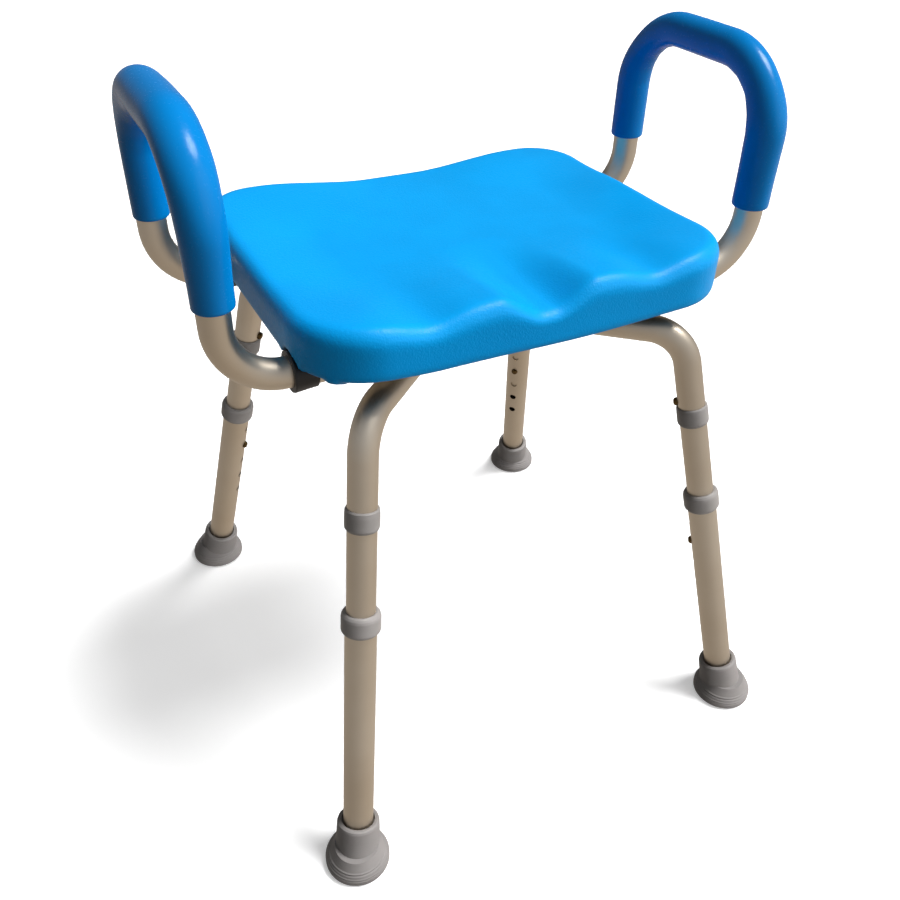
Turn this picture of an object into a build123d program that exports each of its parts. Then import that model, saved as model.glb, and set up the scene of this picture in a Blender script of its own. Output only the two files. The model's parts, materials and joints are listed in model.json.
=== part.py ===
"""Shower chair: padded seat on two crossing leg arches, telescopic legs and two pull-out arms.

Row frame in millimetres: origin on the floor under the middle of the chair, +Z up, +X to the
sitter's left as seen from the front, and the front of the seat faces -Y.
"""
import os
from math import atan, cos, hypot, radians, sin, tan

from build123d import *

os.makedirs("parts", exist_ok=True)

# ---- driving dimensions -------------------------------------------------------------------
TUBE_R = 12.7          # 1 in frame, middle and arm tubes
TUBE_BORE_R = 11.4
SLEEVE_BORE_R = 12.8   # every bore a 1 in tube slides in: 0.1 mm of radial play
LOWER_R = 14.0         # lower leg tube
RECEIVER_R = 14.3      # cross tubes that take the arms

FOOT_X = 221.8         # where a leg's axis meets the floor
FOOT_Y = 233.7
LEAN_X = 0.1527        # inward lean per millimetre of height
LEAN_Y = 0.2307
LEAN = atan(hypot(LEAN_X, LEAN_Y))

# Distances along a leg's axis, from the floor
LOWER_TUBE_S = (16.0, 262.0)
LOWER_COLLAR_S = (251.0, 270.8)
UPPER_COLLAR_S = (348.1, 367.3)
MIDDLE_TUBE_S = (169.5, 352.0)
SPIGOT_TOP_S = 392.0
SPIGOT_R = 11.3
SPIGOT_BORE_R = 10.0
HEIGHT_PITCH = 25.4
LOWER_BUTTON_S = 209.5
UPPER_BUTTON_S = 371.9
HEIGHT_HOLES_S = [LOWER_BUTTON_S + HEIGHT_PITCH * step for step in (1, 0, -1, -2, -3)]

ARCH_RUN_Z = 425.7     # level run of each leg arch
ARCH_BEND_R = 40.0
CROSSING_RISE = 13.7   # one arch steps up and the other down where they cross
CROSSING_OUT = 88.0    # where the step starts, from the middle
CROSSING_IN = 38.0     # where it ends

ARM_X = 249.5
ARM_FRONT_Y = -90.5
ARM_REAR_Y = 101.0
ARM_SOCKET_Z = 455.7
ARM_TOP_Z = 636.1
ARM_LOWER_BEND_R = 50.0
ARM_UPPER_BEND_R = 64.0
ARM_END_X = 128.0
ARM_BUTTON_X = 165.0
GRIP_R = 17.4
GRIP_BOTTOM_Z = {"left": (523.0, 518.0), "right": (513.0, 520.0)}   # front and rear end of each grip
RECEIVER_END_X = 190.5
SOCKET_X = (179.0, 199.0)

SEAT_W = 398.0
SEAT_FRONT_Y = -153.0
SEAT_REAR_Y = 163.0
SEAT_Z = (462.0, 507.5)
SEAT_CORNER_R = 50.0
SEAT_FRONT_CORNER_R = 63.0
DISH_SPAN = 138.0      # half the width of the shallow dish in the seat's top
DISH_DEPTH = 11.0
GROOVE_R = 38.0        # washing groove at the middle of the front
GROOVE_FRONT_Z = 487.0
RECESS_INSET = 20.0
BOARD_Z = (470.8, 474.4)
BOSS_R = 8.0
BOSS_TOP_Z = 483.0
RIB_BOTTOM_Z = 464.4
RIB_W = 2.4
BOARD_GAP = 2.0

HOLE_R = 4.1           # holes for the snap buttons
BUTTON_R = 3.9
SCREW_R = 3.0          # M6
SCREW_HOLE_R = 3.3
SCREW_ACCESS_R = 6.6   # hole under each arch that lets a seat screw and its driver in

CORNERS = {"fl": (-1, -1), "fr": (1, -1), "bl": (-1, 1), "br": (1, 1)}


# ---- helpers ------------------------------------------------------------------------------
def rod(radius, start, end):
    """Solid round bar between two points."""
    start = Vector(*start)
    end = Vector(*end)
    return extrude(Plane(origin=start, z_dir=end - start) * Circle(radius), amount=(end - start).length)


def ring(outer, inner, low, high):
    """Straight sleeve about the Z axis."""
    return rod(outer, (0, 0, low), (0, 0, high)) - rod(inner, (0, 0, low - 1), (0, 0, high + 1))


def turned(points):
    """Solid turned about Z from (radius, height) points."""
    face = Plane.XZ * make_face(Polyline(*points, close=True))
    return revolve(face, Axis.Z)


def bent_path(points, radii):
    """Straight runs joined by round bends, one radius for each inner corner."""
    points = [Vector(*point) for point in points]
    start = points[0]
    edges = []
    for before, corner, after, radius in zip(points, points[1:], points[2:], radii):
        back = (before - corner).normalized()
        ahead = (after - corner).normalized()
        half = radians(back.get_angle(ahead)) / 2
        first = corner + back * (radius / tan(half))
        last = corner + ahead * (radius / tan(half))
        middle = corner + (back + ahead).normalized() * (radius / sin(half) - radius)
        edges.append(Edge.make_line(start, first))
        edges.append(Edge.make_three_point_arc(first, middle, last))
        start = last
    edges.append(Edge.make_line(start, points[-1]))
    return Wire(edges)


def bent_tube(points, radii, outer, inner):
    path = bent_path(points, radii)
    plane = Plane(origin=path @ 0, z_dir=path % 0)
    return sweep(plane * Circle(outer), path=path) - sweep(plane * Circle(inner), path=path)


def leg_plane(side, end):
    """Leg frame: Z up the leg's axis from the floor, X towards the middle of the chair."""
    axis = Vector(-side * LEAN_X, -end * LEAN_Y, 1).normalized()
    level = Vector(-side * LEAN_X, -end * LEAN_Y, 0).normalized()
    inward = (level - axis * level.dot(axis)).normalized()
    return Plane(origin=(side * FOOT_X, end * FOOT_Y, 0), x_dir=inward, z_dir=axis)


def leg_point(side, end, distance):
    return leg_plane(side, end).from_local_coords(Vector(0, 0, distance))


def arch_corner(side, end):
    """Where a leg's axis meets the level run."""
    return Vector(side * (FOOT_X - LEAN_X * ARCH_RUN_Z), end * (FOOT_Y - LEAN_Y * ARCH_RUN_Z), ARCH_RUN_Z)


def button_plane(side, end):
    """Leg frame turned about its axis, so that X points along the arch's level run."""
    leg = leg_plane(side, end)
    corner = arch_corner(side, end)
    run = Vector(-corner.X, -corner.Y, 0).normalized()
    return Plane(origin=leg.origin, x_dir=run - leg.z_dir * run.dot(leg.z_dir), z_dir=leg.z_dir)


def crossing_point(side, y):
    """Where an arch passes over or under a cross tube."""
    corner = arch_corner(side, 1 if y > 0 else -1)
    return Vector(corner.X * y / corner.Y, y, 0)


def write(name, shape):
    shape.label = name
    export_step(shape, f"parts/{name}.step")


# ---- leg parts, made once in the leg frame -------------------------------------------------
def foot():
    """Rubber boot on a round base that sits level while the boot leans with the leg."""
    floor = Plane(origin=(0, 0, 0), z_dir=(-sin(LEAN), 0, cos(LEAN)), x_dir=(cos(LEAN), 0, sin(LEAN)))
    base = turned([(0, 0), (28.6, 0), (30.2, 1.6), (30.2, 6.4), (29.4, 7.4), (29.4, 8.8), (28.6, 9.6), (27.8, 11.4),
                   (26.6, 12.4), (26.6, 13.8), (25.4, 14.8), (23.4, 18.0), (20.6, 22.6), (0, 22.6)])
    boot = turned([(0, -12), (23.4, -12), (22.0, 8), (21.2, 18), (20.3, 32), (19.9, 43.6), (19.3, 45.6), (17.8, 46.4),
                   (0, 46.4)])
    below = floor * Pos(0, 0, -40) * Box(160, 160, 80)
    shape = floor * base + (boot - below)
    for radius in (8.0, 15.0, 22.0):
        shape -= floor * ring(radius + 1.2, radius - 1.2, -1, 1.5)
    mouth = rod(LOWER_R + 1.5, (0, 0, 43.0), (0, 0, 60))
    return shape - rod(LOWER_R, (0, 0, 14), (0, 0, 60)) - mouth


def lower_tube():
    shape = ring(LOWER_R, SLEEVE_BORE_R, *LOWER_TUBE_S)
    for height in HEIGHT_HOLES_S:
        shape -= rod(HOLE_R, (0, 0, height), (20, 0, height))
    return shape


def lower_collar():
    low, high = LOWER_COLLAR_S
    step = LOWER_TUBE_S[1]
    return turned([(LOWER_R, low), (15.5, low), (16.9, low + 2.0), (17.2, low + 3), (17.2, high - 4.6),
                   (16.7, high - 2.4), (15.6, high - 0.7), (14.2, high), (SLEEVE_BORE_R, high),
                   (SLEEVE_BORE_R, step), (LOWER_R, step)])


def upper_collar():
    low, high = UPPER_COLLAR_S
    return turned([(TUBE_R, low), (13.3, low), (14.4, low + 1.6), (14.7, low + 2.6), (14.7, high - 5),
                   (14.4, high - 1.2), (13.6, high), (TUBE_R, high)])


def middle_tube():
    low, high = MIDDLE_TUBE_S
    shape = turned([(TUBE_BORE_R, low), (TUBE_R, low), (TUBE_R, high), (SPIGOT_R, high),
                    (SPIGOT_R, SPIGOT_TOP_S), (SPIGOT_BORE_R, SPIGOT_TOP_S), (SPIGOT_BORE_R, high - 1),
                    (TUBE_BORE_R, high - 5)])
    shape -= rod(HOLE_R, (0, 0, LOWER_BUTTON_S), (20, 0, LOWER_BUTTON_S))
    return shape - rod(HOLE_R, (0, 0, UPPER_BUTTON_S), (20, 0, UPPER_BUTTON_S))


def snap_button(flange, tip):
    """Pin with an inner flange, pointing along X at height zero."""
    pin = rod(BUTTON_R, (flange - 0.5, 0, 0), (tip, 0, 0))
    pin = fillet(pin.edges().sort_by(Axis.X)[-1], 2.6)
    return pin + rod(4.6, (flange - 1.2, 0, 0), (flange, 0, 0))


def snap_spring(flange):
    """Bent spring strip: one leaf on the far wall, the other under the button's flange."""
    face = flange - 1.6
    points = [(-8.4, 0, 7), (-8.4, 0, -30), (-2, 0, -34), (face, 0, -12), (face, 0, 6)]
    path = bent_path(points, (2.5, 2.5, 5.0))
    return sweep(Plane(origin=points[0], x_dir=(1, 0, 0), z_dir=(0, 0, -1)) * Rectangle(0.8, 7.6), path=path)


LOWER_FLANGE = 10.3    # how far out each button's flange sits, against the bore of its tube
UPPER_FLANGE = 8.7
LOWER_BUTTON = snap_button(LOWER_FLANGE, 17.0)
UPPER_BUTTON = snap_button(UPPER_FLANGE, 16.4)

# ---- legs ----------------------------------------------------------------------------------
leg_springs = []
for corner, (side, end) in CORNERS.items():
    write(f"foot_{corner}", leg_plane(side, end).location * foot())
    place = button_plane(side, end).location
    write(f"foot_washer_{corner}", place * rod(13.8, (0, 0, 14), (0, 0, 16)))
    write(f"lower_leg_tube_{corner}", place * lower_tube())
    write(f"lower_collar_{corner}", place * lower_collar())
    write(f"upper_collar_{corner}", place * upper_collar())
    write(f"middle_leg_tube_{corner}", place * middle_tube())
    write(f"height_button_{corner}", place * Pos(0, 0, LOWER_BUTTON_S) * LOWER_BUTTON)
    write(f"frame_button_{corner}", place * Pos(0, 0, UPPER_BUTTON_S) * UPPER_BUTTON)
    leg_springs.append(place * Pos(0, 0, LOWER_BUTTON_S) * snap_spring(LOWER_FLANGE))
    leg_springs.append(place * Pos(0, 0, UPPER_BUTTON_S) * snap_spring(UPPER_FLANGE))
write("leg_button_springs", Compound(leg_springs))

# ---- leg arches ----------------------------------------------------------------------------
screw_spots = [crossing_point(side, y) for y in (ARM_FRONT_Y, ARM_REAR_Y) for side in (-1, 1)]


def leg_arch(side, rise):
    """Front leg on one side to rear leg on the other, stepped at the crossing by rise."""
    points = []
    for s, e in ((side, -1), (-side, 1)):
        corner = arch_corner(s, e)
        flat = Vector(corner.X, corner.Y, 0).normalized()
        half = [leg_point(s, e, MIDDLE_TUBE_S[1]), corner,
                flat * CROSSING_OUT + Vector(0, 0, ARCH_RUN_Z),
                flat * CROSSING_IN + Vector(0, 0, ARCH_RUN_Z + rise)]
        points += half if not points else half[::-1]
    radii = (ARCH_BEND_R, 40, 40, 40, 40, ARCH_BEND_R)
    shape = bent_tube(points, radii, TUBE_R, TUBE_BORE_R)
    for s, e in ((side, -1), (-side, 1)):
        button = Pos(0, 0, UPPER_BUTTON_S) * rod(HOLE_R, (0, 0, 0), (20, 0, 0))
        shape -= button_plane(s, e).location * button
    for spot in screw_spots:
        shape -= Pos(spot.X, spot.Y, 0) * rod(SCREW_HOLE_R, (0, 0, ARCH_RUN_Z), (0, 0, 470))
        shape -= Pos(spot.X, spot.Y, 0) * rod(SCREW_ACCESS_R, (0, 0, 400), (0, 0, ARCH_RUN_Z))
    return shape - rod(SCREW_HOLE_R, (0, 0, 380), (0, 0, 470))


write("leg_arch_upper", leg_arch(-1, CROSSING_RISE))
write("leg_arch_lower", leg_arch(1, -CROSSING_RISE))


def saddle_cut(spot, z, direction, radius):
    """Bar used to hollow a spacer to the tube that rests on it."""
    middle = Vector(spot.X, spot.Y, z)
    return rod(radius, tuple(middle - direction * 40), tuple(middle + direction * 40))


def arch_direction(spot):
    """Level direction of the arch that passes a spot."""
    corner = arch_corner(1 if spot.X > 0 else -1, 1 if spot.Y > 0 else -1)
    return Vector(corner.X, corner.Y, 0).normalized()


def insert_body():
    """Knurled insert from the board's underside up into its boss, taken as a twelve-sided bar."""
    low = BOARD_Z[0]
    return extrude(Plane.XY.offset(low) * RegularPolygon(4.8, 12), amount=BOSS_TOP_Z - 1.5 - low)


X_DIR = Vector(1, 0, 0)
SCREW_SEAT_Z = 433.0   # underside of the curved washers, inside the arches
receiver_saddles = []
board_saddles = []
screws = []
washers = []
inserts = []
for spot in screw_spots:
    here = Pos(spot.X, spot.Y, 0)
    hole = here * rod(SCREW_HOLE_R, (0, 0, 380), (0, 0, 490))
    over = saddle_cut(spot, ARM_SOCKET_Z, X_DIR, RECEIVER_R)
    under = saddle_cut(spot, ARCH_RUN_Z, arch_direction(spot), TUBE_R)
    receiver_saddles.append(here * rod(13.5, (0, 0, 432), (0, 0, 447)) - over - under - hole)
    block = fillet(Box(34, 30, 12.0).edges().filter_by(Axis.Z), 5)
    board_saddles.append(here * Pos(0, 0, BOARD_Z[0] - 6.0) * block - over - hole)
    bore = saddle_cut(spot, ARCH_RUN_Z, arch_direction(spot), TUBE_BORE_R)
    washers.append((here * rod(6.0, (0, 0, SCREW_SEAT_Z), (0, 0, 440)) & bore) - hole)
    head = chamfer(rod(5.2, (0, 0, SCREW_SEAT_Z - 4), (0, 0, SCREW_SEAT_Z)).edges().sort_by(Axis.Z)[0], 0.8)
    head -= extrude(Plane.XY.offset(SCREW_SEAT_Z - 4) * RegularPolygon(2.9, 6), amount=2.4)
    screws.append(here * (head + rod(SCREW_R, (0, 0, SCREW_SEAT_Z - 0.5), (0, 0, 480))))
    inserts.append(here * (insert_body() - rod(SCREW_R, (0, 0, 460), (0, 0, 490))))
write("arch_saddles", Compound(receiver_saddles))
write("board_saddles", Compound(board_saddles))
write("screw_washers", Compound(washers))
write("seat_screws", Compound(screws))
write("board_inserts", Compound(inserts))

# ---- crossing bolt -------------------------------------------------------------------------
centre = Vector(0, 0, 0)
top_tube = saddle_cut(centre, ARCH_RUN_Z + CROSSING_RISE, arch_direction(Vector(-1, -1, 0)), TUBE_R)
low_tube = saddle_cut(centre, ARCH_RUN_Z - CROSSING_RISE, arch_direction(Vector(1, -1, 0)), TUBE_R)
bolt_hole = rod(SCREW_HOLE_R, (0, 0, 380), (0, 0, 470))
write("crossing_spacer", rod(13.5, (0, 0, 418), (0, 0, 433.5)) - top_tube - low_tube - bolt_hole)
crossing_washers = [rod(7.5, (0, 0, 449), (0, 0, 455.0)) - top_tube - bolt_hole,
                    rod(7.5, (0, 0, 396.4), (0, 0, 402.5)) - low_tube - bolt_hole]
write("crossing_washers", Compound(crossing_washers))
hex_head = extrude(Plane.XY.offset(455.0) * RegularPolygon(5.77, 6), amount=4.0)
write("crossing_bolt", hex_head + rod(SCREW_R, (0, 0, 387.5), (0, 0, 456)))
nut = extrude(Plane.XY.offset(391.4) * RegularPolygon(5.77, 6), amount=5.0) + rod(4.9, (0, 0, 389.6), (0, 0, 392))
write("crossing_nut", nut - rod(SCREW_R, (0, 0, 380), (0, 0, 400)))


# ---- cross tubes that take the arms --------------------------------------------------------
def receiver(y):
    shape = Rot(0, 90, 0) * ring(RECEIVER_R, SLEEVE_BORE_R, -RECEIVER_END_X, RECEIVER_END_X)
    shape = Pos(0, y, ARM_SOCKET_Z) * shape
    for side in (-1, 1):
        spot = crossing_point(side, y)
        shape -= Pos(spot.X, spot.Y, 0) * rod(SCREW_HOLE_R, (0, 0, 430), (0, 0, 480))
        shape -= Pos(side * ARM_BUTTON_X, y, ARM_SOCKET_Z) * rod(HOLE_R, (0, 0, 0), (0, 0, -20))
    return shape


write("arm_receiver_front", receiver(ARM_FRONT_Y))
write("arm_receiver_rear", receiver(ARM_REAR_Y))

inner, outer = SOCKET_X
socket = turned([(RECEIVER_R, inner), (15.9, inner), (16.3, inner + 0.6), (17.2, outer - 3), (17.4, outer - 1.2),
                 (16.8, outer), (SLEEVE_BORE_R, outer), (SLEEVE_BORE_R, RECEIVER_END_X),
                 (RECEIVER_R, RECEIVER_END_X)])
sockets = [Pos(0, y, ARM_SOCKET_Z) * Rot(0, 90 * side, 0) * socket
           for y in (ARM_FRONT_Y, ARM_REAR_Y) for side in (-1, 1)]
write("arm_socket_collars", Compound(sockets))


# ---- arms ----------------------------------------------------------------------------------
def arm_points(side, front, rear):
    """Front leg, top and rear leg of an arm, between two heights."""
    x = side * ARM_X
    return [(x, ARM_FRONT_Y, front), (x, ARM_FRONT_Y, ARM_TOP_Z), (x, ARM_REAR_Y, ARM_TOP_Z), (x, ARM_REAR_Y, rear)]


ARM_RADII = (ARM_LOWER_BEND_R, ARM_UPPER_BEND_R, ARM_UPPER_BEND_R, ARM_LOWER_BEND_R)
for name, side in (("left", -1), ("right", 1)):
    front_end = (side * ARM_END_X, ARM_FRONT_Y, ARM_SOCKET_Z)
    rear_end = (side * ARM_END_X, ARM_REAR_Y, ARM_SOCKET_Z)
    loop = [front_end] + arm_points(side, ARM_SOCKET_Z, ARM_SOCKET_Z) + [rear_end]
    tube = bent_tube(loop, ARM_RADII, TUBE_R, TUBE_BORE_R)
    springs = []
    for place, y in (("front", ARM_FRONT_Y), ("rear", ARM_REAR_Y)):
        spot = Pos(side * ARM_BUTTON_X, y, ARM_SOCKET_Z)
        tube -= spot * rod(HOLE_R, (0, 0, 0), (0, 0, -20))
        down = Plane(origin=(0, 0, 0), x_dir=(0, 0, -1), z_dir=(side, 0, 0)).location
        write(f"arm_button_{name}_{place}", spot * down * LOWER_BUTTON)
        springs.append(spot * down * snap_spring(LOWER_FLANGE))
    write(f"arm_tube_{name}", tube)
    write(f"arm_button_springs_{name}", Compound(springs))
    grip = bent_tube(arm_points(side, *GRIP_BOTTOM_Z[name]), ARM_RADII[1:3], GRIP_R, TUBE_R)
    rims = [edge for edge in grip.edges().filter_by(GeomType.CIRCLE) if edge.center().Z < 530]
    write(f"arm_grip_{name}", fillet(rims, 2.0))

# ---- seat ----------------------------------------------------------------------------------
seat_y = (SEAT_FRONT_Y + SEAT_REAR_Y) / 2
seat_d = SEAT_REAR_Y - SEAT_FRONT_Y


def slab(width, depth, radius, low, high):
    return Pos(0, seat_y, low) * extrude(RectangleRounded(width, depth, radius), amount=high - low)


pad = Pos(0, seat_y, (SEAT_Z[0] + SEAT_Z[1]) / 2) * Box(SEAT_W, seat_d, SEAT_Z[1] - SEAT_Z[0])
pad = fillet(pad.edges().filter_by(Axis.Z).group_by(Axis.Y)[0], SEAT_FRONT_CORNER_R)
pad = fillet(pad.edges().filter_by(Axis.Z).group_by(Axis.Y)[-1], SEAT_CORNER_R)
pad = fillet(pad.edges().group_by(Axis.Z)[-1], 10)
pad = fillet(pad.edges().group_by(Axis.Z)[0], 5)
recess_w = SEAT_W - 2 * RECESS_INSET
recess_d = seat_d - 2 * RECESS_INSET
recess_r = SEAT_CORNER_R - RECESS_INSET
pad -= slab(recess_w, recess_d, recess_r, SEAT_Z[0] - 1, BOARD_Z[1])
for y in (ARM_FRONT_Y, ARM_REAR_Y):
    pad -= rod(18.2, (-220, y, ARM_SOCKET_Z), (220, y, ARM_SOCKET_Z))
for spot in screw_spots:
    pad -= Pos(spot.X, spot.Y, 0) * rod(BOSS_R, (0, 0, 470), (0, 0, BOSS_TOP_Z))
# The contour: a shallow dish for sitting in, and a washing groove that opens at the front.
dish_r = (DISH_SPAN ** 2 + DISH_DEPTH ** 2) / (2 * DISH_DEPTH)
pad -= Pos(0, seat_y, SEAT_Z[1] - DISH_DEPTH + dish_r) * Sphere(dish_r)
groove_line = ((0, SEAT_FRONT_Y - 20, GROOVE_FRONT_Z + GROOVE_R - 2), (0, 20, SEAT_Z[1] - DISH_DEPTH + GROOVE_R))
pad -= rod(GROOVE_R, *groove_line)
write("seat_pad", pad)

# The board: a flat plate, bosses for the inserts, and ribs underneath between the cross tubes.
board = slab(recess_w - BOARD_GAP, recess_d - BOARD_GAP, recess_r - 1, *BOARD_Z)
for spot in screw_spots:
    board += Pos(spot.X, spot.Y, 0) * rod(BOSS_R, (0, 0, BOARD_Z[0]), (0, 0, BOSS_TOP_Z))
rib_h = BOARD_Z[0] - RIB_BOTTOM_Z
rib_z = (BOARD_Z[0] + RIB_BOTTOM_Z) / 2
for y in (-62, -29, 4.5, 38, 71):
    board += Pos(0, y, rib_z) * Box(310, RIB_W, rib_h)
for x in (-155, -93, -31, 31, 93, 155):
    board += Pos(x, 4.5, rib_z) * Box(RIB_W, 133 + RIB_W, rib_h)
rim = slab(recess_w - BOARD_GAP, recess_d - BOARD_GAP, recess_r - 1, RIB_BOTTOM_Z, BOARD_Z[0])
rim -= slab(recess_w - BOARD_GAP - 5, recess_d - BOARD_GAP - 5, recess_r - 3.5, RIB_BOTTOM_Z - 1, BOARD_Z[0] + 1)
board += rim
for y in (ARM_FRONT_Y, ARM_REAR_Y):
    board -= rod(18.2, (-220, y, ARM_SOCKET_Z), (220, y, ARM_SOCKET_Z)) & Pos(0, y, 465) * Box(500, 60, 11.6)
for spot in screw_spots:
    board -= Pos(spot.X, spot.Y, 0) * insert_body()
    board -= Pos(spot.X, spot.Y, 0) * rod(SCREW_HOLE_R, (0, 0, 460), (0, 0, 482))
write("seat_board", board)
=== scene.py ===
# %% [markdown]
# # A shower chair
# The chair is a padded seat on two bent aluminium arches that cross under it. Each leg is a
# telescope of two tubes with a row of height holes, and each arm is a bent loop with a foam grip
# that plugs into cross tubes under the seat. The metal and plastic pieces arrive as exact CAD
# solids, so this lesson gives them their finishes and models the two soft things: the moulded
# seat pad and the arm grips.

# %% The frame
import json
import math

import bpy
from mathutils import Matrix, Vector

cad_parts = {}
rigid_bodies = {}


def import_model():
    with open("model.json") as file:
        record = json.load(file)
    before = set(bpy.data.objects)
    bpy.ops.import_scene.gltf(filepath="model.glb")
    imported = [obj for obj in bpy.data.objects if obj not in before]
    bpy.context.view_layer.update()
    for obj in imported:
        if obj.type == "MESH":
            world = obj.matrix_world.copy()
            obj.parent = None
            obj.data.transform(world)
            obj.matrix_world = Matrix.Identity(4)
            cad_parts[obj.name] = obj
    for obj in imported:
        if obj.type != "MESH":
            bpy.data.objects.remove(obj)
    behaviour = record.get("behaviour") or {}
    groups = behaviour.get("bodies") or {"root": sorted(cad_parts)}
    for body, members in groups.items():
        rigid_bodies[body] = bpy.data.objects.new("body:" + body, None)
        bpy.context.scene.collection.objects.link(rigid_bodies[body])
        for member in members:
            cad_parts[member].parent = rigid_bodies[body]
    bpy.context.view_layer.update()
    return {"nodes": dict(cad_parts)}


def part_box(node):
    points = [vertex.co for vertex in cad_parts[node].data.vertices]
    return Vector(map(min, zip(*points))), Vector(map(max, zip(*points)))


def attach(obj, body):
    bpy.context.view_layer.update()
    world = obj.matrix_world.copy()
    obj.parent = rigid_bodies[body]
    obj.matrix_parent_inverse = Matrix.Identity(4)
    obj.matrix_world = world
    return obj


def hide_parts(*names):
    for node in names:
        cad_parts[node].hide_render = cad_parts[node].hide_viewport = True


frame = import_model()

# %% [markdown]
# ## Working with operators
# Every operator acts on whatever is selected, and loading leaves the CAD pieces selected. So each
# new piece starts from an empty selection, and in edit mode the edges or faces to work on are
# picked by where they are or which way they face. Sizes are thought out in millimetres, and
# Blender works in metres here, so MM turns one into the other.

# %% Selection helpers
MM = 0.001
HAIR = 1e-5  # metres: as good as touching


def start_fresh():
    bpy.ops.object.select_all(action="DESELECT")


def pick(piece, kind, wanted):
    """Select only the vertices, edges or faces that wanted() accepts, and enter edit mode."""
    bpy.ops.object.mode_set(mode="EDIT")
    bpy.ops.mesh.select_mode(type=kind)
    bpy.ops.mesh.select_all(action="DESELECT")
    bpy.ops.object.mode_set(mode="OBJECT")
    mesh = piece.data
    items = {"VERT": mesh.vertices, "EDGE": mesh.edges, "FACE": mesh.polygons}[kind]
    for item in items:
        item.select = wanted(item)
    bpy.ops.object.mode_set(mode="EDIT")


def round_edges(piece, wanted, radius, segments):
    """Bevel the edges whose two end points wanted() accepts."""
    points = piece.data.vertices
    pick(piece, "EDGE", lambda edge: wanted(*(points[i].co for i in edge.vertices)))
    bpy.ops.mesh.bevel(offset=radius * MM, segments=segments, profile=0.5)
    bpy.ops.object.mode_set(mode="OBJECT")


print("selection helpers ready")

# %% [markdown]
# ## Seat pad: the blank
# The real pad is integral-skin polyurethane, foamed in a closed mould so that the foam grows its
# own smooth skin. It has no seams, so cloth tools would be wrong for it. It is made as the mould
# maker would: a rounded slab first, then the contour cut into its top. The slab is a cube whose
# corners and rims are bevelled, with a recess below for the base board.

# %% Slab with rounded corners and a recess
pad_low, pad_high = (Vector(corner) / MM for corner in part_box("seat_pad"))
SEAT_LOW, SEAT_HIGH = pad_low.z, 503.0
SEAT_MIDDLE_Y = (pad_low.y + pad_high.y) / 2
SEAT_W, SEAT_D = pad_high.x - pad_low.x, pad_high.y - pad_low.y
FRONT_CORNER_R, REAR_CORNER_R, TOP_RIM_R, LOWER_RIM_R = 63, 52, 13, 5
RECESS_MARGIN, RECESS_DEPTH = 15, 12.6
UPRIGHT = 0.02  # metres: only the slab's upright corners are taller than this

start_fresh()
bpy.ops.mesh.primitive_cube_add(
    size=1, location=(0, SEAT_MIDDLE_Y * MM, (SEAT_LOW + SEAT_HIGH) / 2 * MM),
    scale=(SEAT_W * MM, SEAT_D * MM, (SEAT_HIGH - SEAT_LOW) * MM))
pad = bpy.context.object
pad.name = "moulded_seat_pad"
bpy.ops.object.transform_apply(location=True, rotation=True, scale=True)

for radius, at_front in ((FRONT_CORNER_R, True), (REAR_CORNER_R, False)):
    round_edges(pad, lambda a, b: abs((a - b).z) > UPRIGHT
                and (a.y < SEAT_MIDDLE_Y * MM) == at_front, radius, segments=16)
round_edges(pad, lambda a, b: min(a.z, b.z) > SEAT_HIGH * MM - HAIR, TOP_RIM_R, segments=7)
round_edges(pad, lambda a, b: max(a.z, b.z) < SEAT_LOW * MM + HAIR, LOWER_RIM_R, segments=3)
pick(pad, "FACE", lambda face: face.normal.z < -0.99)
bpy.ops.mesh.inset(thickness=RECESS_MARGIN * MM, depth=0)
bpy.ops.mesh.extrude_region_move(
    TRANSFORM_OT_translate={"value": (0, 0, RECESS_DEPTH * MM)})
bpy.ops.object.mode_set(mode="OBJECT")
print("slab faces", len(pad.data.polygons))

# %% [markdown]
# ## Seat pad: notches and an even skin
# The arm sockets pass under the rim, so the rim has a half-round notch over each. A cylinder
# stretched right across cuts two at once. The voxel remesh then turns the slab into small even
# faces that can be shaped freely, and it softens the cut edges the way foam skin rounds over a
# mould edge.

# %% Notches, then remesh
NOTCH_R, VOXEL = 18.4, 2.2
SEAT_SPAN = 0.5  # metres: a cutter this long reaches past both sides of the seat


def apply_modifier(piece, kind, **settings):
    modifier = piece.modifiers.new(kind.title(), kind)
    for name, value in settings.items():
        setattr(modifier, name, value)
    bpy.context.view_layer.objects.active = piece
    bpy.ops.object.modifier_apply(modifier=modifier.name)


notches_y = []
for name in ("arm_receiver_front", "arm_receiver_rear"):
    low, high = (Vector(corner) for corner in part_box(name))
    notches_y.append((low.y + high.y) / 2 / MM)
    start_fresh()
    bpy.ops.mesh.primitive_cylinder_add(
        vertices=48, radius=NOTCH_R * MM, depth=SEAT_SPAN, location=(low + high) / 2,
        rotation=(0, math.radians(90), 0))
    cutter = bpy.context.object
    apply_modifier(pad, "BOOLEAN", object=cutter, operation="DIFFERENCE", solver="EXACT")
    bpy.data.objects.remove(cutter)
apply_modifier(pad, "REMESH", mode="VOXEL", voxel_size=VOXEL * MM, use_smooth_shade=True)
print("skin faces", len(pad.data.polygons))


# %% [markdown]
# ## Seat pad: the height of its skin
# The top is a shallow dish with a raised rim. Two troughs for the thighs run out through the front
# edge, and a washing groove between two crests opens at the middle of the front. The back rim dips
# in the middle. It could be sculpted by hand, but a sum of simple curves can be read, measured and
# changed: each feature is one term of a height function. smoothstep() is the gentle ramp between
# two places, and hump() is the bell curve round one place.

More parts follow.
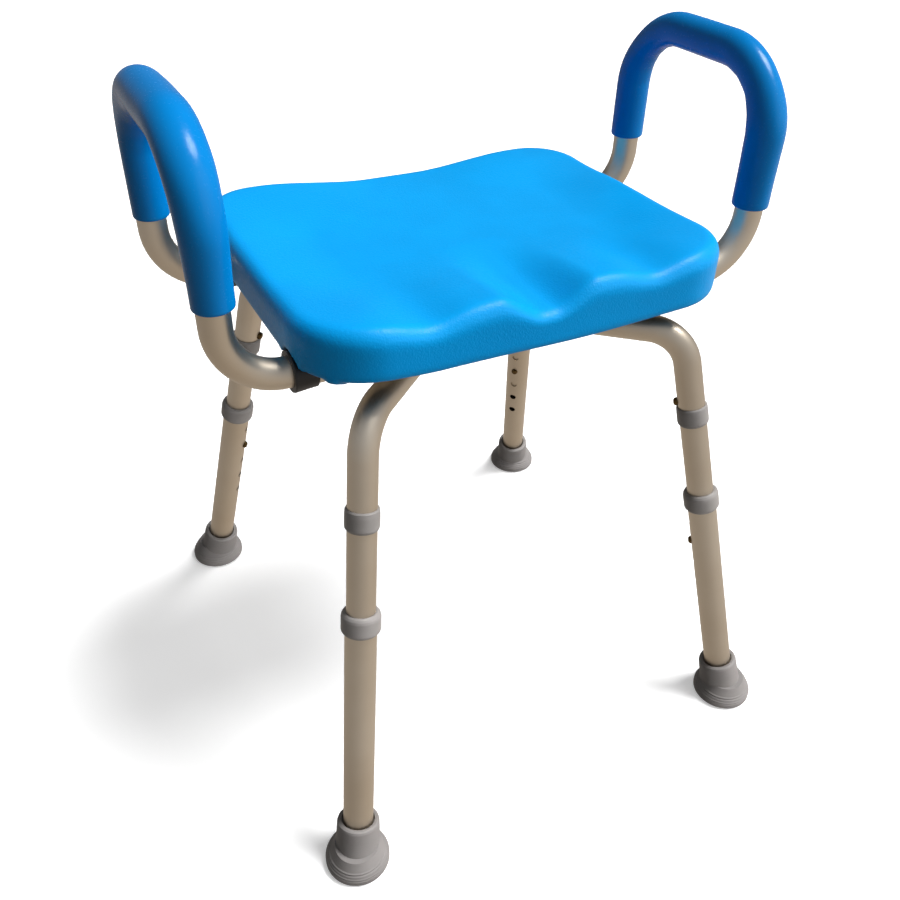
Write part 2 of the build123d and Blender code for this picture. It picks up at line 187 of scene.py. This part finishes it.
# %% Height function
SIDE_RIM_Z, DISH_DEPTH, REAR_SHOULDER_DROP = 505.0, 9.0, 5.0
CREST_Z, TROUGH_DEPTH, TROUGH_X, TROUGH_WIDTH = 509.5, 8.5, 103, 27
REAR_DIP_Z, REAR_RISE, REAR_TILT = 496.5, 9.5, 0.018
GROOVE_DEPTH, GROOVE_FLOOR, GROOVE_EDGE = 19.0, 4, 46


def smoothstep(low, high, value):
    t = min(max((value - low) / (high - low), 0.0), 1.0)
    return t * t * (3 - 2 * t)


def hump(value, centre, width):
    """1 at the centre, fading to nothing over about two widths."""
    return math.exp(-((value - centre) / width) ** 2)


def skin_height(x, y):
    side = abs(x)
    inside_rim = smoothstep(199, 118, side)
    front = 1 - smoothstep(-150, -25, y)
    back = smoothstep(45, 156, y)
    dish = SIDE_RIM_Z - DISH_DEPTH * inside_rim
    dish -= REAR_SHOULDER_DROP * hump(x, 190, 35) * hump(y, 112, 55)
    front_rim = CREST_Z - TROUGH_DEPTH * hump(side, TROUGH_X, TROUGH_WIDTH)
    rear_rim = REAR_DIP_Z + REAR_RISE * smoothstep(25, 140, side) - REAR_TILT * x
    height = dish * (1 - front) * (1 - back) + front_rim * front + rear_rim * back
    across = 1 - smoothstep(GROOVE_FLOOR, GROOVE_EDGE, side)
    groove = GROOVE_DEPTH * across * (1 - smoothstep(-148, -15, y))
    return height - groove


print("groove bottom at the front", round(skin_height(0, -143), 1), "mm")

# %% [markdown]
# ## Seat pad: moving the skin
# Every point above a base level is raised or lowered in proportion, so the sides stretch evenly.
# The lower edge isn't level either: a moulding springs a little when it leaves its mould, and here
# the left end stands 3 mm high while the front sags by 3.4 mm right of its middle. The recess for
# the board stays true, and so do the notches. A light smoothing at the end rounds every edge like
# foam skin. Nothing is sewn or stuffed.

# %% Shape the pad
BASE_Z = 466.0
LEFT_LIFT, FRONT_SAG = 3.0, 3.4
RECESS_X, RECESS_Y, RECESS_Z = 183, 142, 478  # half width, half depth and top of the recess
LOWER_EDGE_TOP, LOWER_EDGE_END = 470, 488  # the lower edge's own move fades between these

for vertex in pad.data.vertices:
    x, y, z = (c / MM for c in vertex.co)
    if abs(x) < RECESS_X and abs(y - SEAT_MIDDLE_Y) < RECESS_Y and z < RECESS_Z:
        continue
    if z > BASE_Z:
        share = (skin_height(x, y) - BASE_Z) / (SEAT_HIGH - BASE_Z)
        vertex.co.z = (BASE_Z + (z - BASE_Z) * share) * MM
    off_notch = smoothstep(15, 22, min(abs(y - middle) for middle in notches_y))
    lower_edge = LEFT_LIFT * smoothstep(-95, -155, x)
    lower_edge -= FRONT_SAG * hump(x, 40, 85) * (1 - smoothstep(-150, -110, y))
    fade = 1 - smoothstep(LOWER_EDGE_TOP, LOWER_EDGE_END, z)
    vertex.co.z += lower_edge * off_notch * fade * MM
apply_modifier(pad, "SMOOTH", factor=0.5, iterations=3)
start_fresh()
pad.select_set(True)
bpy.context.view_layer.objects.active = pad
bpy.ops.object.shade_smooth()
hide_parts("seat_pad")
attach(pad, "frame")
print("seat pad stands", round(max(v.co.z for v in pad.data.vertices) / MM, 1), "mm high")

# %% [markdown]
# ## Arm grips
# Each grip is a thick sleeve of the same kind of foam, pushed over the bent tube. It could be a
# curve with a round bevel, but spinning a ring round each corner keeps every bend a true arc that
# fits the tube inside. The ring is drawn up the front leg, spun, drawn back, spun and drawn down.
# Sleeves are pushed on by hand, so their four ends stop at slightly different heights. The CAD
# grip's box gives the loop's middle, its two legs and its top.

# %% Sweep one ring along the loop
TUBE_R, BEND_R = 12.7, 64.0
SLEEVE_ENDS = {"left": (523.0, 518.0), "right": (513.0, 520.0)}  # height of front and rear end
RING_POINTS, LEG_STEPS, TOP_STEPS, BEND_STEPS = 56, 14, 16, 32


def draw(distance, steps):
    """Extrude the selected ring in equal steps."""
    for _ in range(steps):
        bpy.ops.mesh.extrude_region_move(
            TRANSFORM_OT_translate={"value": tuple(c * MM / steps for c in distance)})


def spin_bend(x, y, z):
    """Turn the selected ring a quarter round a bend's centre."""
    bpy.ops.mesh.spin(steps=BEND_STEPS, angle=math.radians(90), axis=(1, 0, 0),
                      center=(x * MM, y * MM, z * MM))


def sweep_sleeve(side):
    """The outer skin of one grip, its radius, and where the loop's legs and bends are."""
    low, high = (Vector(corner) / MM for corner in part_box("arm_grip_" + side))
    radius = (high.x - low.x) / 2
    x, front, rear = (low.x + high.x) / 2, low.y + radius, high.y - radius
    bend_z = high.z - radius - BEND_R
    front_end, rear_end = SLEEVE_ENDS[side]
    start_fresh()
    bpy.ops.mesh.primitive_circle_add(
        vertices=RING_POINTS, radius=radius * MM, fill_type="NOTHING",
        location=(x * MM, front * MM, front_end * MM))
    sleeve = bpy.context.object
    sleeve.name = "foam_grip_" + side
    bpy.ops.object.transform_apply(location=True, rotation=True, scale=True)
    bpy.ops.object.mode_set(mode="EDIT")
    bpy.ops.mesh.select_mode(type="EDGE")
    bpy.ops.mesh.select_all(action="SELECT")
    draw((0, 0, bend_z - front_end), LEG_STEPS)
    spin_bend(x, front + BEND_R, bend_z)
    draw((0, rear - front - 2 * BEND_R, 0), TOP_STEPS)
    spin_bend(x, rear - BEND_R, bend_z)
    draw((0, 0, rear_end - bend_z), LEG_STEPS)
    bpy.ops.mesh.select_all(action="SELECT")
    bpy.ops.mesh.remove_doubles(threshold=1e-6)
    bpy.ops.mesh.normals_make_consistent(inside=False)
    bpy.ops.object.mode_set(mode="OBJECT")
    return sleeve, radius, x, front, rear, bend_z


print("sleeves end at", SLEEVE_ENDS)

# %% [markdown]
# ## Arm grips: where the tube runs
# To make the foam thicker or thinner, each point of the skin has to know the nearest point of the
# tube's middle line, which way is outward from the loop there, and how far round the bend it is: 0
# on a leg and a quarter turn along the top. It could be stored while sweeping, but working it out
# from the point's place needs no bookkeeping.

# %% Nearest point of the tube
def along_tube(y, z, front, rear, bend_z):
    """The middle line's y and z, the outward direction's y and z, and the turn."""
    if z < bend_z:
        line_y = front if y < (front + rear) / 2 else rear
        return line_y, z, math.copysign(1, line_y), 0.0, 0.0
    pivot_y = min(max(y, front + BEND_R), rear - BEND_R)
    reach = math.hypot(y - pivot_y, z - bend_z)
    out_y, out_z = (y - pivot_y) / reach, (z - bend_z) / reach
    turn = math.asin(min(out_z, 1.0))
    return pivot_y + out_y * BEND_R, bend_z + out_z * BEND_R, out_y, out_z, turn


print("tube radius", TUBE_R, "mm, bend radius", BEND_R, "mm")

# %% [markdown]
# ## Arm grips: how the foam settles
# Foam stretches thin round the outside of a bend, bunches into faint creases on the inside, and
# isn't quite the same on any two grips. SKIN says, in millimetres for each grip, how much thicker
# the foam is all round over the top (over_top), on its outer side there (crown), on the lower half
# of the front leg, on the rear leg, and on the outer side of the rear bend; push shifts the whole
# skin sideways. Minus means thinner. Only the outer skin moves, so the bore still fits the tube.

# %% Settle the skin
SKIN = {
    "left": {"push": 0.9, "crown": 2.3, "over_top": 0.0,
             "front_leg": -1.4, "rear_leg": -1.8, "rear_bend": 0.0},
    "right": {"push": 0.0, "crown": 0.0, "over_top": -1.9,
              "front_leg": -0.8, "rear_leg": -1.1, "rear_bend": -1.2}}
BORE_R = TUBE_R + 0.15
THINNEST_WALL = 0.5
CREASE_DEPTH, CREASES = 0.7, 18


def thicker_by(skin, y, z, turn, outward, bend_z):
    """How many millimetres the wall gains; outward is 1 on the loop's outer side, -1 inside."""
    bend = math.sin(2 * turn)
    at_rear = smoothstep(0, 100, y)
    on_top = smoothstep(0.15, 0.85, turn)
    low_leg = 1 - smoothstep(bend_z - 40, bend_z + 20, z)
    change = skin["front_leg"] * (1 - at_rear) * low_leg + skin["rear_leg"] * at_rear
    change += skin["over_top"] * on_top + skin["rear_bend"] * at_rear * bend * max(outward, 0)
    change += skin["crown"] * on_top * smoothstep(-0.3, 0.6, outward) * (1 - 0.4 * at_rear)
    crease = 0.5 + 0.5 * math.cos(CREASES * turn)
    change -= CREASE_DEPTH * bend * max(-outward, 0) ** 2 * crease
    return change * (1 - 0.7 * on_top * at_rear * max(-outward, 0))


def settle(sleeve, skin, radius, x, front, rear, bend_z):
    for vertex in sleeve.data.vertices:
        y, z = vertex.co.y / MM, vertex.co.z / MM
        line_y, line_z, out_y, out_z, turn = along_tube(y, z, front, rear, bend_z)
        off = Vector((vertex.co.x / MM - x, y - line_y, z - line_z))
        depth = off.length - BORE_R
        if depth < 0.6:
            continue
        outward = (off.y * out_y + off.z * out_z) / off.length
        change = thicker_by(skin, y, z, turn, outward, bend_z)
        share = 1 + max(change, THINNEST_WALL - radius + BORE_R) / (radius - BORE_R)
        moved = off.normalized() * (BORE_R + depth * share)
        moved.x += skin["push"] * min(depth / (radius - BORE_R), 1)
        vertex.co = Vector((x + moved.x, line_y + moved.y, line_z + moved.z)) * MM


print("skin changes", SKIN)

# %% [markdown]
# ## Arm grips: wall and cut ends
# The swept skin is only a surface. Solidify gives it its wall, inward down to the tube, a bevel
# rounds the cut ends the way foam rounds over, and then the skin settles. A grip is full of foam,
# and it moves with its arm.

# %% Both grips
grips = []
for side in ("left", "right"):
    sleeve, radius, *corners = sweep_sleeve(side)
    apply_modifier(sleeve, "SOLIDIFY", thickness=(radius - BORE_R) * MM, offset=-1)
    apply_modifier(sleeve, "BEVEL", width=2.2 * MM, segments=4, limit_method="ANGLE",
                   angle_limit=math.radians(60))
    settle(sleeve, SKIN[side], radius, *corners)
    start_fresh()
    sleeve.select_set(True)
    bpy.ops.object.shade_smooth()
    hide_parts("arm_grip_" + side)
    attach(sleeve, "arm_" + side)
    grips.append(sleeve)
    print(sleeve.name, "faces", len(sleeve.data.polygons), "wall", round(radius - TUBE_R, 2), "mm")

# %% [markdown]
# ## Making materials
# One small function adds a shader node, sets it up and connects it. Colours are picked as the hex
# values seen on a screen and turned into the linear values that a shader needs. Object coordinates
# carry every pattern, because they stay on the piece when it moves. Every finish here has two
# tones and a fine relief, so those two steps are shared. A colour Mix node keeps its factor, its
# two colours and its result at numbers 0, 6, 7 and 2.

# %% Node helper, colours and the shared steps
def hex_colour(text):
    channels = [int(text[i:i + 2], 16) / 255 for i in (0, 2, 4)]
    return [c / 12.92 if c <= 0.04045 else ((c + 0.055) / 1.055) ** 2.4 for c in channels] + [1.0]


def add(tree, kind, inputs=None, **settings):
    made = tree.nodes.new(kind)
    for name, value in settings.items():
        setattr(made, name, value)
    for name, value in (inputs or {}).items():
        if isinstance(value, bpy.types.NodeSocket):
            tree.links.new(value, made.inputs[name])
        else:
            made.inputs[name].default_value = value
    return made


def new_material(name, colour, metallic, roughness):
    material = bpy.data.materials.new(name)
    material.use_nodes = True
    tree = material.node_tree
    shader = tree.nodes["Principled BSDF"]
    shader.inputs["Base Color"].default_value = hex_colour(colour)
    shader.inputs["Metallic"].default_value = metallic
    shader.inputs["Roughness"].default_value = roughness
    place = add(tree, "ShaderNodeTexCoord").outputs["Object"]
    return material, tree, shader, place


def tone_and_relief(tree, shader, tone, dark, light, height, strength, depth_mm):
    """Blend two colours by a pattern, and raise the surface by another."""
    colour = add(tree, "ShaderNodeMix", {0: tone, 6: hex_colour(dark), 7: hex_colour(light)},
                 data_type="RGBA")
    tree.links.new(colour.outputs[2], shader.inputs["Base Color"])
    bump = add(tree, "ShaderNodeBump",
               {"Height": height, "Strength": strength, "Distance": depth_mm * MM})
    tree.links.new(bump.outputs["Normal"], shader.inputs["Normal"])


print("material tools ready")

# %% [markdown]
# ## Polyurethane skin
# Integral-skin foam copies the satin grain of its mould. A cell pattern gives the grain, drawn at
# 1.3 mm and 1.6 mm, coarser than the real one, so that it shows at all. A slow noise gives the
# faint cloudiness of moulded foam, and the roughness wanders with the pores. The grips' skin is
# glossier and nearly flat, polished by hands, so its relief is very low.

# %% Seat skin and grip skin
def foam_skin(name, dark, light, grain_mm, roughness, relief, gloss):
    material, tree, shader, place = new_material(name, light, 0.0, roughness)
    cloud = add(tree, "ShaderNodeTexNoise",
                {"Vector": place, "Scale": 14.0, "Detail": 3.0, "Roughness": 0.5})
    tone = add(tree, "ShaderNodeMapRange",
               {"Value": cloud.outputs["Fac"], "From Min": 0.35, "From Max": 0.65})
    grain = add(tree, "ShaderNodeTexVoronoi", {"Vector": place, "Scale": 1000.0 / grain_mm},
                feature="SMOOTH_F1")
    pores = add(tree, "ShaderNodeTexNoise", {"Vector": place, "Scale": 450.0, "Detail": 4.0})
    height = add(tree, "ShaderNodeMath", {0: grain.outputs["Distance"], 1: pores.outputs["Fac"]},
                 operation="ADD")
    tone_and_relief(tree, shader, tone.outputs["Result"], dark, light, height.outputs[0],
                    relief, 0.3)
    wander = add(tree, "ShaderNodeMapRange",
                 {"Value": pores.outputs["Fac"], "From Min": 0.3, "From Max": 0.7,
                  "To Min": roughness - 0.05, "To Max": roughness + 0.06})
    tree.links.new(wander.outputs["Result"], shader.inputs["Roughness"])
    shader.inputs["IOR"].default_value = 1.45
    shader.inputs["Specular IOR Level"].default_value = gloss
    return material


seat_skin = foam_skin("polyurethane_integral_skin_blue", "0092D8", "0097DE", 1.3, 0.4, 0.5, 0.15)
grip_skin = foam_skin("polyurethane_grip_skin_blue", "0074BA", "0079C0", 1.6, 0.23, 0.008, 0.17)
print("foam skins ready")

# %% [markdown]
# ## Anodised aluminium
# The tubes are drawn, etched to a satin and anodised in a champagne tone. The etch leaves an even
# silky sheen with no direction, so the roughness is middling and the relief very fine. A slow
# change of tone and of roughness keeps long tubes from looking like plastic.

# %% Champagne tubes
champagne, tree, shader, place = new_material(
    "aluminium_satin_anodised_champagne", "C9BCA9", 1.0, 0.42)
slow = add(tree, "ShaderNodeTexNoise", {"Vector": place, "Scale": 9.0, "Detail": 4.0})
tone = add(tree, "ShaderNodeMapRange",
           {"Value": slow.outputs["Fac"], "From Min": 0.35, "From Max": 0.65})
etch = add(tree, "ShaderNodeTexNoise", {"Vector": place, "Scale": 2200.0, "Detail": 2.0})
tone_and_relief(tree, shader, tone.outputs["Result"], "C2B5A2", "CEC3B2", etch.outputs["Fac"],
                0.12, 0.08)
handled = add(tree, "ShaderNodeMapRange",
              {"Value": slow.outputs["Fac"], "From Min": 0.3, "From Max": 0.7,
               "To Min": 0.38, "To Max": 0.48})
tree.links.new(handled.outputs["Result"], shader.inputs["Roughness"])
print("tubes ready")

# %% [markdown]
# ## Moulded plastics and rubber
# Collars are injection-moulded polypropylene with a light spark-eroded texture, the sockets are the
# same in black, the base board is matt, and the feet are moulded rubber, which is duller. They
# share one recipe: two tones in a mottle, and a fine relief whose size is the grain in millimetres.

# %% One recipe for moulded parts
def moulded(name, dark, light, roughness, grain_mm, relief):
    material, tree, shader, place = new_material(name, light, 0.0, roughness)
    mottle = add(tree, "ShaderNodeTexNoise", {"Vector": place, "Scale": 30.0, "Detail": 5.0})
    tone = add(tree, "ShaderNodeMapRange",
               {"Value": mottle.outputs["Fac"], "From Min": 0.3, "From Max": 0.7})
    grain = add(tree, "ShaderNodeTexNoise",
                {"Vector": place, "Scale": 1000.0 / grain_mm, "Detail": 3.0})
    tone_and_relief(tree, shader, tone.outputs["Result"], dark, light, grain.outputs["Fac"],
                    relief, 0.2)
    patchy = add(tree, "ShaderNodeMapRange",
                 {"Value": mottle.outputs["Fac"], "To Min": roughness - 0.06,
                  "To Max": roughness + 0.06})
    tree.links.new(patchy.outputs["Result"], shader.inputs["Roughness"])
    return material


grey_plastic = moulded("polypropylene_moulded_grey", "878380", "928E8C", 0.42, 0.7, 0.12)
black_plastic = moulded("polypropylene_moulded_black", "050506", "0A0A0B", 0.5, 0.7, 0.12)
board_plastic = moulded("polypropylene_board_charcoal", "262728", "303132", 0.55, 1.0, 0.2)
grey_rubber = moulded("rubber_moulded_grey", "7A7674", "868280", 0.6, 0.9, 0.2)
print("moulded finishes ready")

# %% [markdown]
# ## Small metal parts
# The snap buttons are turned brass, darkened by handling. The screws, nuts and washers are
# zinc-plated steel, which has a crystalline spangle under a cool sheen, and the spring strips are
# rolled steel. Cells of slightly different tone make the spangle, and a fine relief the scuffs.

# %% Brass, zinc and spring steel
def small_metal(name, dark, light, roughness, grain_mm):
    material, tree, shader, place = new_material(name, light, 1.0, roughness)
    spangle = add(tree, "ShaderNodeTexVoronoi", {"Vector": place, "Scale": 1000.0 / grain_mm})
    tone = add(tree, "ShaderNodeSeparateColor", {"Color": spangle.outputs["Color"]})
    scuff = add(tree, "ShaderNodeTexNoise", {"Vector": place, "Scale": 1500.0, "Detail": 3.0})
    tone_and_relief(tree, shader, tone.outputs["Red"], dark, light, scuff.outputs["Fac"],
                    0.15, 0.05)
    return material


brass = small_metal("brass_turned", "4A3820", "66502E", 0.2, 1.5)
zinc = small_metal("steel_zinc_plated", "A9ACAF", "C3C6C9", 0.3, 1.2)
spring = small_metal("steel_rolled_strip", "8C8E91", "A2A4A7", 0.34, 2.0)
print("small metals ready")

# %% [markdown]
# ## Finishes on the CAD pieces
# Each CAD piece keeps its exact shape and only swaps the finish in its material slot. The piece's
# name says what it is, so a short list of name beginnings is enough. The first beginning that fits
# is used, so foot_washer comes before foot.

# %% Assign finishes by name
FINISHES = [
    (board_plastic, ("seat_board", "arch_saddles", "board_saddles", "crossing_spacer")),
    (spring, ("arm_button_springs", "leg_button_springs")),
    (brass, ("board_inserts", "arm_button", "height_button", "frame_button")),
    (black_plastic, ("arm_socket_collars",)),
    (grey_plastic, ("upper_collar", "lower_collar")),
    (zinc, ("foot_washer", "seat_screws", "screw_washers", "crossing_bolt", "crossing_nut",
            "crossing_washers")),
    (grey_rubber, ("foot",)),
    (champagne, ("leg_arch", "arm_receiver", "arm_tube", "middle_leg_tube", "lower_leg_tube")),
    (seat_skin, ("seat_pad",)),
    (grip_skin, ("arm_grip",)),
]

for name, node in frame["nodes"].items():
    finish = next(material for material, starts in FINISHES if name.startswith(starts))
    if not node.data.materials:
        node.data.materials.append(None)
    for index in range(len(node.data.materials)):
        node.material_slots[index].material = finish
for piece, finish, slot in ((pad, seat_skin, "blue_pu"),
                            *((grip, grip_skin, "grip_foam") for grip in grips)):
    piece.data.materials.clear()
    piece.data.materials.append(finish)
print("finishes set on", len(frame["nodes"]), "CAD pieces")

# %% [markdown]
# ## Studio: floor
# The chair stands on a plain white floor, a hair below its feet. A white floor bounces a lot of
# light up into the shade, so it is darker for light than for the eye: a Light Path node tells the
# two apart. It is also hidden from reflections, which keeps the tubes' lower sides clean.

# %% Floor
start_fresh()
bpy.ops.mesh.primitive_plane_add(size=30, location=(0, 0, -0.0004))
floor = bpy.context.object
floor.name = "studio_floor"
floor_material, tree, shader, _ = new_material("studio_floor_white", "F6F6F6", 0.0, 0.9)
floor.data.materials.append(floor_material)
seen = add(tree, "ShaderNodeLightPath").outputs["Is Camera Ray"]
paint = add(tree, "ShaderNodeMix", {0: seen, 6: hex_colour("535150"), 7: hex_colour("F6F6F6")},
            data_type="RGBA")
glow = add(tree, "ShaderNodeMath", {0: seen, 1: 0.35}, operation="MULTIPLY")
tree.links.new(paint.outputs[2], shader.inputs["Base Color"])
tree.links.new(glow.outputs[0], shader.inputs["Emission Strength"])
shader.inputs["Emission Color"].default_value = (1, 1, 1, 1)
floor.visible_glossy = False
print("floor laid")

# %% [markdown]
# ## Studio: lamps
# A soft key lamp stands high on the right, so tops are bright and the left sides are deep in
# shade. A broad fill from the front and the right keeps the front half as bright as the top, and
# a low one reaches the feet. Sun lamps with a wide angle do this evenly over the whole floor. The
# fills are hidden from reflections, so the tubes don't show them as streaks.

# %% Lamps
def soft_light(name, kind, place, target, energy, **more):
    data = bpy.data.lights.new(name, kind)
    data.energy = energy
    for setting, value in more.items():
        setattr(data, setting, value)
    light = bpy.data.objects.new(name, data)
    bpy.context.collection.objects.link(light)
    light.location = place
    aim = Vector(target) - Vector(place)
    light.rotation_euler = aim.to_track_quat("-Z", "Y").to_euler()
    return light


key = soft_light("key", "SUN", (1.3, -0.36, 2.3), (0, 0, 0), 3.85, angle=math.radians(24))
front_fill = soft_light("front_fill", "SUN", (1.8, -1.85, 0.9), (0, 0, 0), 1.9,
                        angle=math.radians(60))
low_fill = soft_light("low_fill", "AREA", (0.5, -2.2, 0.1), (0, 0, 0.03), 0.5,
                      shape="DISK", size=0.5, spread=math.radians(14))
for fill in (front_fill, low_fill):
    fill.visible_glossy = False
print("lamps ready")

# %% [markdown]
# ## Studio: what blocks the key lamp
# The arms stand between the key lamp and the seat, and their shadow would cut a band across the
# contour. A lamp can be told what may block it, so the key is blocked by everything but the arms'
# tubes and grips.

# %% Blockers
blockers = bpy.data.collections.new("key_blockers")
for piece in list(bpy.context.scene.objects):
    is_arm = piece in grips or piece.name.startswith(("arm_tube", "arm_grip"))
    if piece.type == "MESH" and not is_arm and piece is not floor:
        blockers.objects.link(piece)
key.light_linking.blocker_collection = blockers

# %% [markdown]
# ## Studio: the room's light
# A room is never black, so the world gives a little light, more from the upper right than from
# below. Its strength is a ramp along one direction: the dot product says how far a ray points
# that way.

# %% Room light
ROOM_DARK, ROOM_BRIGHT = 0.015, 0.28
world = bpy.data.worlds.new("pale_room")
world.use_nodes = True
tree = world.node_tree
background = tree.nodes["Background"]
direction = add(tree, "ShaderNodeTexCoord").outputs["Generated"]
lit_side = add(tree, "ShaderNodeVectorMath", {0: direction, 1: (0.5, -0.2, 0.84)},
               operation="DOT_PRODUCT")
room = add(tree, "ShaderNodeMapRange",
           {"Value": lit_side.outputs["Value"], "From Min": -0.75, "From Max": 0.95,
            "To Min": ROOM_DARK, "To Max": ROOM_BRIGHT})
print("room light from", ROOM_DARK, "to", ROOM_BRIGHT)

# %% [markdown]
# ## Studio: the room in reflections
# Bare metal shows what it mirrors, so the tubes need a brighter room than the foam should be lit
# by. Glossy rays see walls that are paler on the right, and a darker backdrop behind the chair
# that gives the tubes a soft dark line. They are faintly warm below and cool above. The camera
# itself sees plain white.

# %% Room in reflections
MIRRORED_LEFT, MIRRORED_RIGHT, BACKDROP = 0.42, 0.74, 0.2
split = add(tree, "ShaderNodeSeparateXYZ", {"Vector": direction})
walls = add(tree, "ShaderNodeMapRange",
            {"Value": split.outputs["X"], "From Min": -0.9, "From Max": 0.9,
             "To Min": MIRRORED_LEFT, "To Max": MIRRORED_RIGHT})
behind = add(tree, "ShaderNodeVectorMath", {0: direction, 1: (0.38, 0.70, 0.60)},
             operation="DOT_PRODUCT")
backdrop = add(tree, "ShaderNodeMapRange",
               {"Value": behind.outputs["Value"], "From Min": 0.25, "From Max": 0.85,
                "To Min": 1.0, "To Max": BACKDROP})
mirrored = add(tree, "ShaderNodeMath",
               {0: walls.outputs["Result"], 1: backdrop.outputs["Result"]}, operation="MULTIPLY")
ray = add(tree, "ShaderNodeLightPath").outputs
lit = add(tree, "ShaderNodeMix", {"Factor": ray["Is Glossy Ray"], "A": room.outputs["Result"],
                                  "B": mirrored.outputs[0]}, data_type="FLOAT")
strength = add(tree, "ShaderNodeMix", {"Factor": ray["Is Camera Ray"],
                                       "A": lit.outputs["Result"], "B": 1.0}, data_type="FLOAT")
tree.links.new(strength.outputs["Result"], background.inputs["Strength"])
height = add(tree, "ShaderNodeMapRange",
             {"Value": split.outputs["Z"], "From Min": -0.6, "From Max": 0.6})
tint = add(tree, "ShaderNodeMix", {0: height.outputs["Result"], 6: hex_colour("FFF3E6"),
                                   7: hex_colour("F1F6FF")}, data_type="RGBA")
plain = add(tree, "ShaderNodeMix", {0: ray["Is Glossy Ray"], 6: (1, 1, 1, 1),
                                    7: tint.outputs[2]}, data_type="RGBA")
tree.links.new(plain.outputs[2], background.inputs["Color"])
bpy.context.scene.world = world
bpy.context.scene.view_settings.view_transform = "Standard"
print("mirrored room from", MIRRORED_LEFT, "to", MIRRORED_RIGHT)

# %% [markdown]
# ## Camera
# The view is from in front, to the chair's left-hand side and well above the seat. Yaw turns the
# camera towards the chair, pitch tips it down, and a slight roll leans it, as a hand-held camera
# does. An empty to look at would be simpler, but it couldn't roll.

# %% Camera
CAMERA_PLACE = (-0.3718, -0.6794, 0.8394)
YAW, PITCH, ROLL = 0.4922, 0.6491, 0.024
LENS_MM, SENSOR_MM = 36.83, 36.0
level = Vector((math.sin(YAW), math.cos(YAW), 0))
right = Vector((math.cos(YAW), -math.sin(YAW), 0))
ahead = level * math.cos(PITCH) - Vector((0, 0, math.sin(PITCH)))
up = right.cross(ahead)
rolled_right = right * math.cos(ROLL) + up * math.sin(ROLL)
rolled_up = up * math.cos(ROLL) - right * math.sin(ROLL)
axes = Matrix((rolled_right, rolled_up, -ahead)).transposed().to_4x4()
camera_data = bpy.data.cameras.new("camera")
camera_data.sensor_width = SENSOR_MM
camera_data.lens = LENS_MM
camera = bpy.data.objects.new("camera", camera_data)
bpy.context.collection.objects.link(camera)
camera.matrix_world = Matrix.Translation(CAMERA_PLACE) @ axes
bpy.context.scene.camera = camera
print("camera ready")

# %% [markdown]
# ## End

# %% End
print("scene built")
